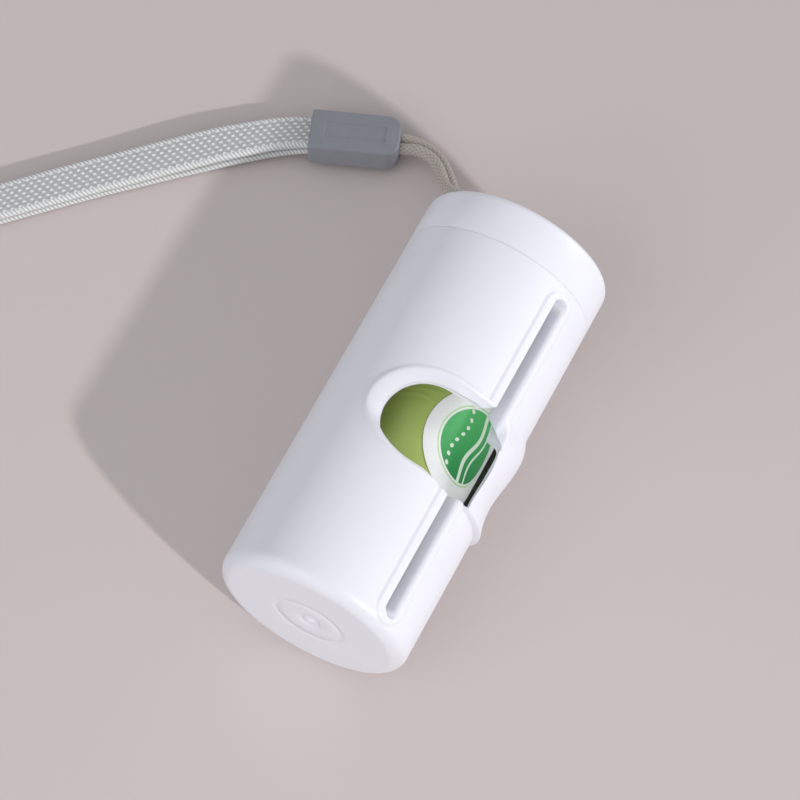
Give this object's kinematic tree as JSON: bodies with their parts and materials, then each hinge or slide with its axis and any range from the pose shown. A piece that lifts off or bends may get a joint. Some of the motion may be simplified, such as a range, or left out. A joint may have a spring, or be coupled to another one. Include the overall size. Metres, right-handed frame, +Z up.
{
  "type": "dog waste bag dispenser",
  "caption": "Round canister for a roll of waste bags, with a tear slot, a thumb window, a screw cap, and a wrist strap on a short cord.",
  "frame": {"origin": "on the table under the middle of the canister and its cap: the middle of their box in X and Y, and its lowest face in Z", "axes": "+Y along the canister's axis from the closed end to the cap, +Z up with the canister lying on its side, +X towards the side with the tear slot and the lip"},
  "size_m": [0.1711, 0.1181, 0.0403],
  "materials": {
    "canister_plastic": "smooth white moulded plastic",
    "cap_plastic": "smooth white moulded plastic",
    "bag_film": "thin crinkled green film, wound",
    "core_paper": "brown paperboard",
    "label_paper": "coated white paper with a green print",
    "cord_fabric": "fine braided polyester",
    "connector_plastic": "satin grey moulded plastic",
    "strap_webbing": "woven polyester webbing, silver grey"
  },
  "bodies": {
    "canister": {"canister_body": "canister_plastic"},
    "lanyard": {"cord_loop": "cord_fabric", "cord_knot": "cord_fabric", "lanyard_connector": "connector_plastic", "wrist_strap": "strap_webbing"},
    "cap": {"screw_cap": "cap_plastic"},
    "roll": {"bag_roll": "bag_film", "roll_core": "core_paper", "roll_label": "label_paper"}
  },
  "joints": [
    {"name": "cap_rise", "type": "slide", "parent": "canister", "child": "lanyard", "axis": [0, 1, 0], "range_m": [0, 0.0075]},
    {"name": "cap_turn", "type": "hinge", "parent": "lanyard", "child": "cap", "pos_m": [-0.0006, 0.04, 0.02], "axis": [0, 1, 0], "range_deg": [0, 900]},
    {"name": "roll_turn", "type": "hinge", "parent": "canister", "child": "roll", "pos_m": [-0.0006, 0, 0.0173], "axis": [0, 1, 0], "continuous": true}
  ],
  "couplings": [
    {"joint": "cap_rise", "follows": "cap_turn", "m_per_rad": 0.00047746}
  ]
}
